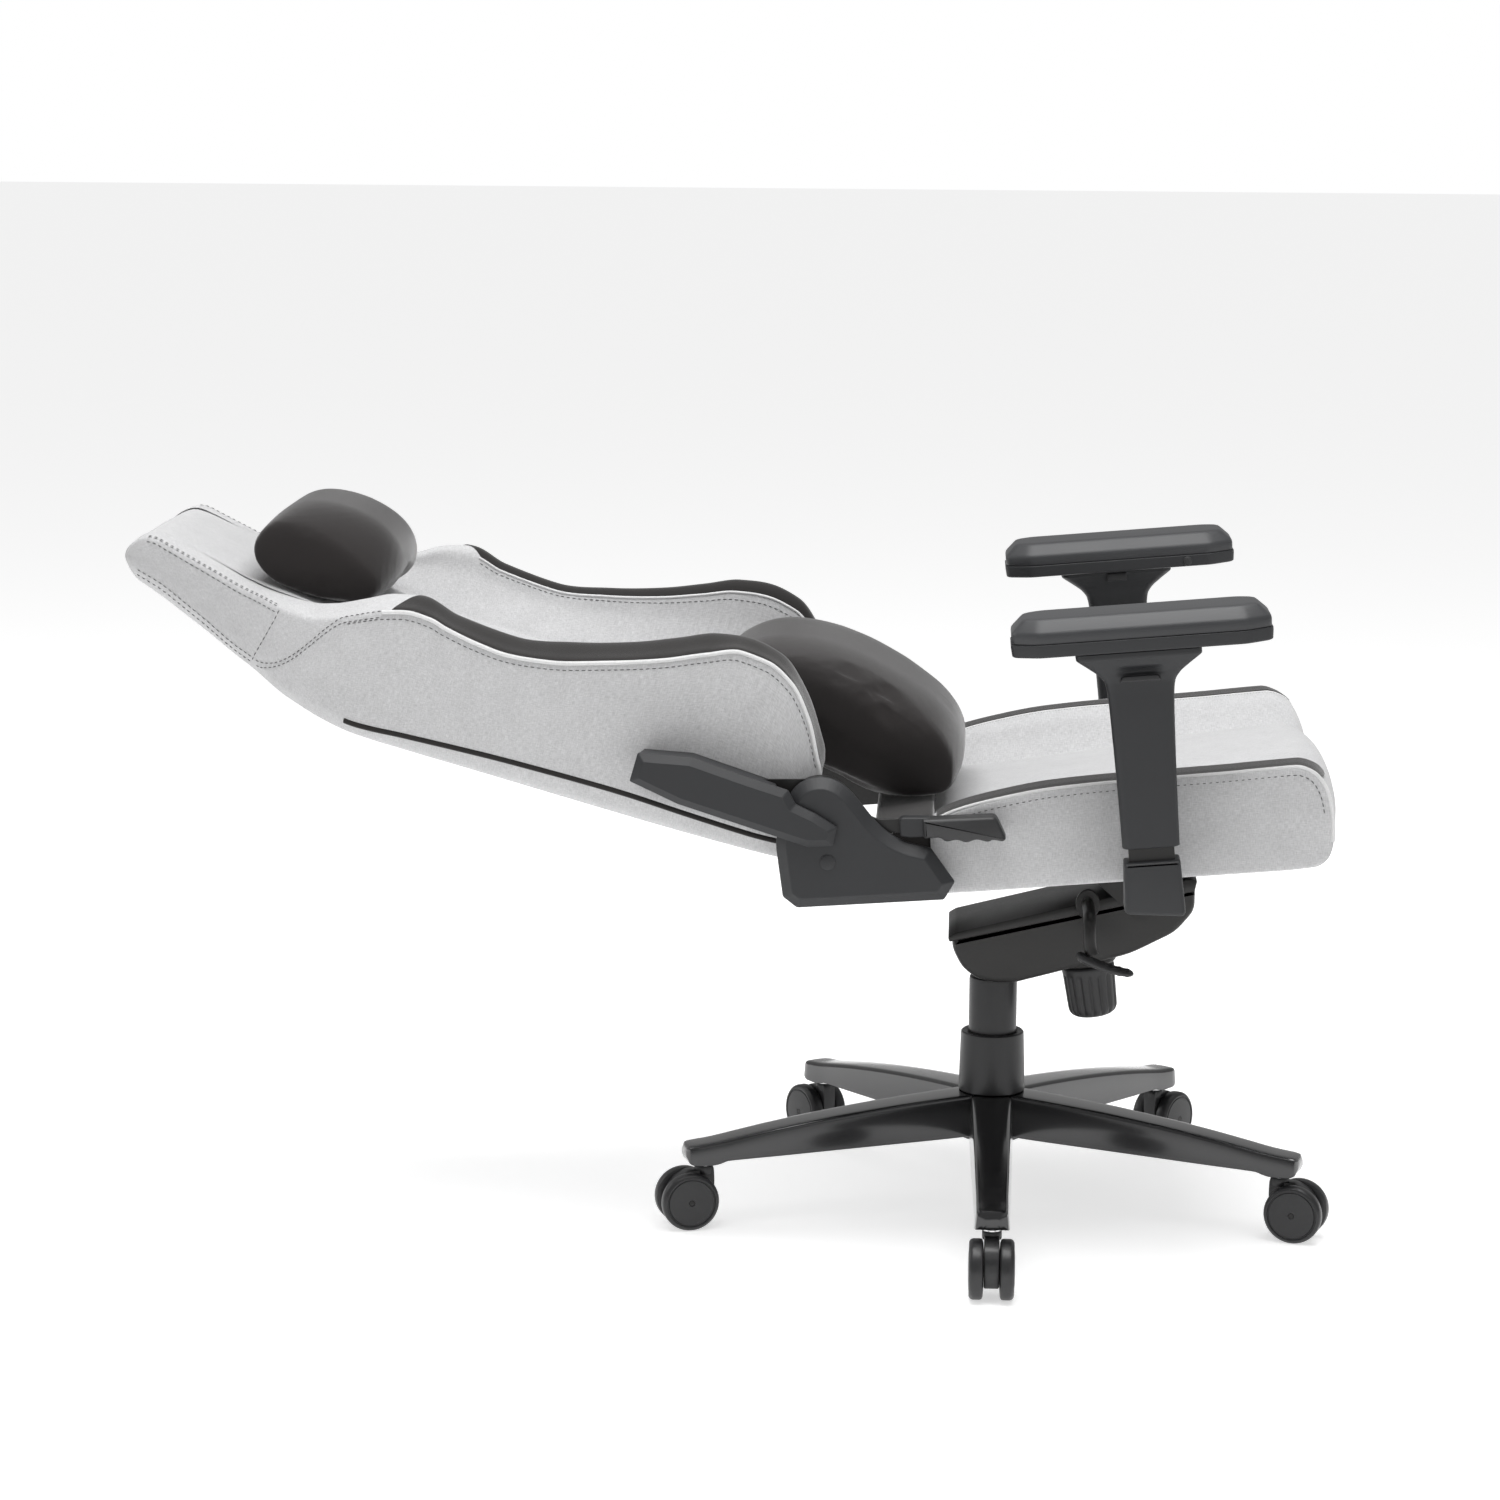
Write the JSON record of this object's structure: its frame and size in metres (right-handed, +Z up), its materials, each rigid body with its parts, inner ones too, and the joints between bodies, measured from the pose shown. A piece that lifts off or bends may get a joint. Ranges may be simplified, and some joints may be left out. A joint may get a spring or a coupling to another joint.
{
  "type": "gaming chair",
  "caption": "Reclining gaming chair with winged backrest, adjustable armrests, tilt mechanism, gas lift and star base on casters, with a headrest and a lumbar pillow.",
  "frame": {"origin": "on the floor, on the gas lift's axis", "axes": "+Z up, -Y the way the chair faces, +X to the sitter's left"},
  "size_m": [0.705, 1.2359, 0.7368],
  "materials": {
    "base_metal": "satin black powder coat",
    "lift_steel": "satin black",
    "black_steel": "semi-gloss black",
    "grey_plastic": "fine-grained charcoal",
    "black_plastic": "fine-grained black",
    "grey_cloth": "heathered linen-look weave",
    "velour": "short-pile charcoal velour",
    "soft_pad": "soft-touch polyurethane skin",
    "tread": "satin black nylon"
  },
  "bodies": {
    "base": {"star_base": "base_metal", "gas_lift_tube": "lift_steel", "lift_dust_cover": "black_plastic"},
    "lift_piston": {"piston_tube": "lift_steel"},
    "mechanism": {"tilt_housing": "black_steel", "tilt_pivot_pin": "black_steel"},
    "tension_knob": {"tension_knob": "black_plastic"},
    "height_lever": {"height_lever": "black_plastic"},
    "seat": {"seat_plate": "black_steel", "seat_frame": "black_steel", "seat_cushion": "grey_cloth", "seat_bolster_right": "grey_cloth", "recliner_seat_plate_right": "black_steel", "recliner_seat_cover_right": "grey_plastic", "armrest_bracket_right": "black_steel", "armrest_foot_right": "grey_plastic", "seat_bolster_left": "grey_cloth", "recliner_seat_plate_left": "black_steel", "recliner_seat_cover_left": "grey_plastic", "armrest_bracket_left": "black_steel", "armrest_foot_left": "grey_plastic"},
    "backrest": {"backrest_frame": "black_steel", "backrest_cushion": "grey_cloth", "backrest_head": "grey_cloth", "backrest_rear_panel": "grey_cloth", "backrest_wing_right": "grey_cloth", "recliner_arm_plate_right": "black_steel", "recliner_arm_cover_right": "grey_plastic", "backrest_wing_left": "grey_cloth", "recliner_arm_plate_left": "black_steel", "recliner_arm_cover_left": "grey_plastic"},
    "recline_lever": {"recline_lever": "black_plastic"},
    "headrest_pillow": {"headrest_pillow": "velour"},
    "lumbar_pillow": {"lumbar_pillow": "velour"},
    "armrest_right": {"armrest_sleeve_right": "grey_plastic"},
    "height_button_right": {"armrest_height_button_right": "black_plastic"},
    "side_button_right": {"armrest_side_button_right": "black_plastic"},
    "armrest_swivel_right": {"armrest_swivel_plate_right": "black_steel"},
    "armrest_slide_right": {"armrest_slide_plate_right": "black_steel"},
    "armrest_pad_right": {"armrest_pad_base_right": "grey_plastic", "armrest_pad_right": "soft_pad"},
    "round_button_right": {"armrest_round_button_right": "black_plastic"},
    "armrest_left": {"armrest_sleeve_left": "grey_plastic"},
    "height_button_left": {"armrest_height_button_left": "black_plastic"},
    "side_button_left": {"armrest_side_button_left": "black_plastic"},
    "armrest_swivel_left": {"armrest_swivel_plate_left": "black_steel"},
    "armrest_slide_left": {"armrest_slide_plate_left": "black_steel"},
    "armrest_pad_left": {"armrest_pad_base_left": "grey_plastic", "armrest_pad_left": "soft_pad"},
    "round_button_left": {"armrest_round_button_left": "black_plastic"},
    "caster_1": {"caster_1_fork": "black_plastic"},
    "caster_wheels_1": {"caster_1_wheels": "tread"},
    "caster_2": {"caster_2_fork": "black_plastic"},
    "caster_wheels_2": {"caster_2_wheels": "tread"},
    "caster_3": {"caster_3_fork": "black_plastic"},
    "caster_wheels_3": {"caster_3_wheels": "tread"},
    "caster_4": {"caster_4_fork": "black_plastic"},
    "caster_wheels_4": {"caster_4_wheels": "tread"},
    "caster_5": {"caster_5_fork": "black_plastic"},
    "caster_wheels_5": {"caster_5_wheels": "tread"}
  },
  "joints": [
    {"name": "gas_lift", "type": "slide", "parent": "base", "child": "lift_piston", "axis": [0, 0, 1], "range_m": [0, 0.08]},
    {"name": "seat_swivel", "type": "hinge", "parent": "lift_piston", "child": "mechanism", "pos_m": [0, 0, 0.28], "axis": [0, 0, 1], "continuous": true},
    {"name": "tension_knob_turn", "type": "hinge", "parent": "mechanism", "child": "tension_knob", "pos_m": [0, -0.098, 0.264], "axis": [0, 0.1392, 0.9903], "continuous": true},
    {"name": "height_lever_lift", "type": "hinge", "parent": "mechanism", "child": "height_lever", "pos_m": [-0.1, -0.095, 0.34], "axis": [-1, 0, 0], "range_deg": [0, 15], "stiffness_Nm_per_rad": 0.8, "springref_deg": -20.05},
    {"name": "seat_tilt", "type": "hinge", "parent": "mechanism", "child": "seat", "pos_m": [0, -0.15, 0.337], "axis": [-1, 0, 0], "range_deg": [0, 12], "stiffness_Nm_per_rad": 220, "springref_deg": -40.11},
    {"name": "backrest_recline", "type": "hinge", "parent": "seat", "child": "backrest", "pos_m": [0, 0.174, 0.471], "axis": [1, 0, 0], "range_deg": [0, 68], "deforming": ["lumbar_pillow"]},
    {"name": "recline_lever_lift", "type": "hinge", "parent": "seat", "child": "recline_lever", "pos_m": [-0.268, 0.174, 0.471], "axis": [-1, 0, 0], "range_deg": [0, 18], "stiffness_Nm_per_rad": 0.6, "springref_deg": -22.92},
    {"name": "headrest_pillow_off", "type": "slide", "parent": "backrest", "child": "headrest_pillow", "axis": [0, -0.2756, 0.9613], "range_m": [0, 0.15]},
    {"name": "lumbar_pillow_off", "type": "slide", "parent": "backrest", "child": "lumbar_pillow", "axis": [0, -0.2756, 0.9613], "range_m": [0, 0.2]},
    {"name": "armrest_height_right", "type": "slide", "parent": "seat", "child": "armrest_right", "axis": [0, 0.0872, 0.9962], "range_m": [0, 0.07]},
    {"name": "height_button_press_right", "type": "slide", "parent": "armrest_right", "child": "height_button_right", "axis": [1, 0, 0], "range_m": [0, 0.003], "stiffness_N_per_m": 250, "springref_m": -0.002},
    {"name": "side_button_press_right", "type": "slide", "parent": "armrest_right", "child": "side_button_right", "axis": [-1, 0, 0], "range_m": [0, 0.003], "stiffness_N_per_m": 250, "springref_m": -0.002},
    {"name": "armrest_turn_right", "type": "hinge", "parent": "armrest_right", "child": "armrest_swivel_right", "pos_m": [-0.31, -0.12951, 0.64225], "axis": [0, 0.0872, 0.9962], "range_deg": [-20, 20]},
    {"name": "armrest_reach_right", "type": "slide", "parent": "armrest_swivel_right", "child": "armrest_slide_right", "axis": [0, 0.9962, -0.0872], "range_m": [-0.025, 0.025]},
    {"name": "armrest_spread_right", "type": "slide", "parent": "armrest_slide_right", "child": "armrest_pad_right", "axis": [-1, 0, 0], "range_m": [-0.01, 0.01]},
    {"name": "round_button_press_right", "type": "slide", "parent": "armrest_pad_right", "child": "round_button_right", "axis": [-1, 0, 0], "range_m": [0, 0.002], "stiffness_N_per_m": 200, "springref_m": -0.002},
    {"name": "armrest_height_left", "type": "slide", "parent": "seat", "child": "armrest_left", "axis": [0, 0.0872, 0.9962], "range_m": [0, 0.07]},
    {"name": "height_button_press_left", "type": "slide", "parent": "armrest_left", "child": "height_button_left", "axis": [-1, 0, 0], "range_m": [0, 0.003], "stiffness_N_per_m": 250, "springref_m": -0.002},
    {"name": "side_button_press_left", "type": "slide", "parent": "armrest_left", "child": "side_button_left", "axis": [1, 0, 0], "range_m": [0, 0.003], "stiffness_N_per_m": 250, "springref_m": -0.002},
    {"name": "armrest_turn_left", "type": "hinge", "parent": "armrest_left", "child": "armrest_swivel_left", "pos_m": [0.31, -0.12951, 0.64225], "axis": [0, 0.0872, 0.9962], "range_deg": [-20, 20]},
    {"name": "armrest_reach_left", "type": "slide", "parent": "armrest_swivel_left", "child": "armrest_slide_left", "axis": [0, 0.9962, -0.0872], "range_m": [-0.025, 0.025]},
    {"name": "armrest_spread_left", "type": "slide", "parent": "armrest_slide_left", "child": "armrest_pad_left", "axis": [1, 0, 0], "range_m": [-0.01, 0.01]},
    {"name": "round_button_press_left", "type": "slide", "parent": "armrest_pad_left", "child": "round_button_left", "axis": [1, 0, 0], "range_m": [0, 0.002], "stiffness_N_per_m": 200, "springref_m": -0.002},
    {"name": "caster_1_swivel", "type": "hinge", "parent": "base", "child": "caster_1", "pos_m": [-0.312, 0, 0.075], "axis": [0, 0, 1], "continuous": true},
    {"name": "caster_1_roll", "type": "hinge", "parent": "caster_1", "child": "caster_wheels_1", "pos_m": [-0.33, 0, 0.03], "axis": [0, -1, 0], "continuous": true},
    {"name": "caster_2_swivel", "type": "hinge", "parent": "base", "child": "caster_2", "pos_m": [-0.09641, -0.29673, 0.075], "axis": [0, 0, 1], "continuous": true},
    {"name": "caster_2_roll", "type": "hinge", "parent": "caster_2", "child": "caster_wheels_2", "pos_m": [-0.10198, -0.31385, 0.03], "axis": [0.9511, -0.309, 0], "continuous": true},
    {"name": "caster_3_swivel", "type": "hinge", "parent": "base", "child": "caster_3", "pos_m": [0.25241, -0.18339, 0.075], "axis": [0, 0, 1], "continuous": true},
    {"name": "caster_3_roll", "type": "hinge", "parent": "caster_3", "child": "caster_wheels_3", "pos_m": [0.26698, -0.19397, 0.03], "axis": [0.5878, 0.809, 0], "continuous": true},
    {"name": "caster_4_swivel", "type": "hinge", "parent": "base", "child": "caster_4", "pos_m": [0.25241, 0.18339, 0.075], "axis": [0, 0, 1], "continuous": true},
    {"name": "caster_4_roll", "type": "hinge", "parent": "caster_4", "child": "caster_wheels_4", "pos_m": [0.26698, 0.19397, 0.03], "axis": [-0.5878, 0.809, 0], "continuous": true},
    {"name": "caster_5_swivel", "type": "hinge", "parent": "base", "child": "caster_5", "pos_m": [-0.09641, 0.29673, 0.075], "axis": [0, 0, 1], "continuous": true},
    {"name": "caster_5_roll", "type": "hinge", "parent": "caster_5", "child": "caster_wheels_5", "pos_m": [-0.10198, 0.31385, 0.03], "axis": [-0.9511, -0.309, 0], "continuous": true}
  ]
}
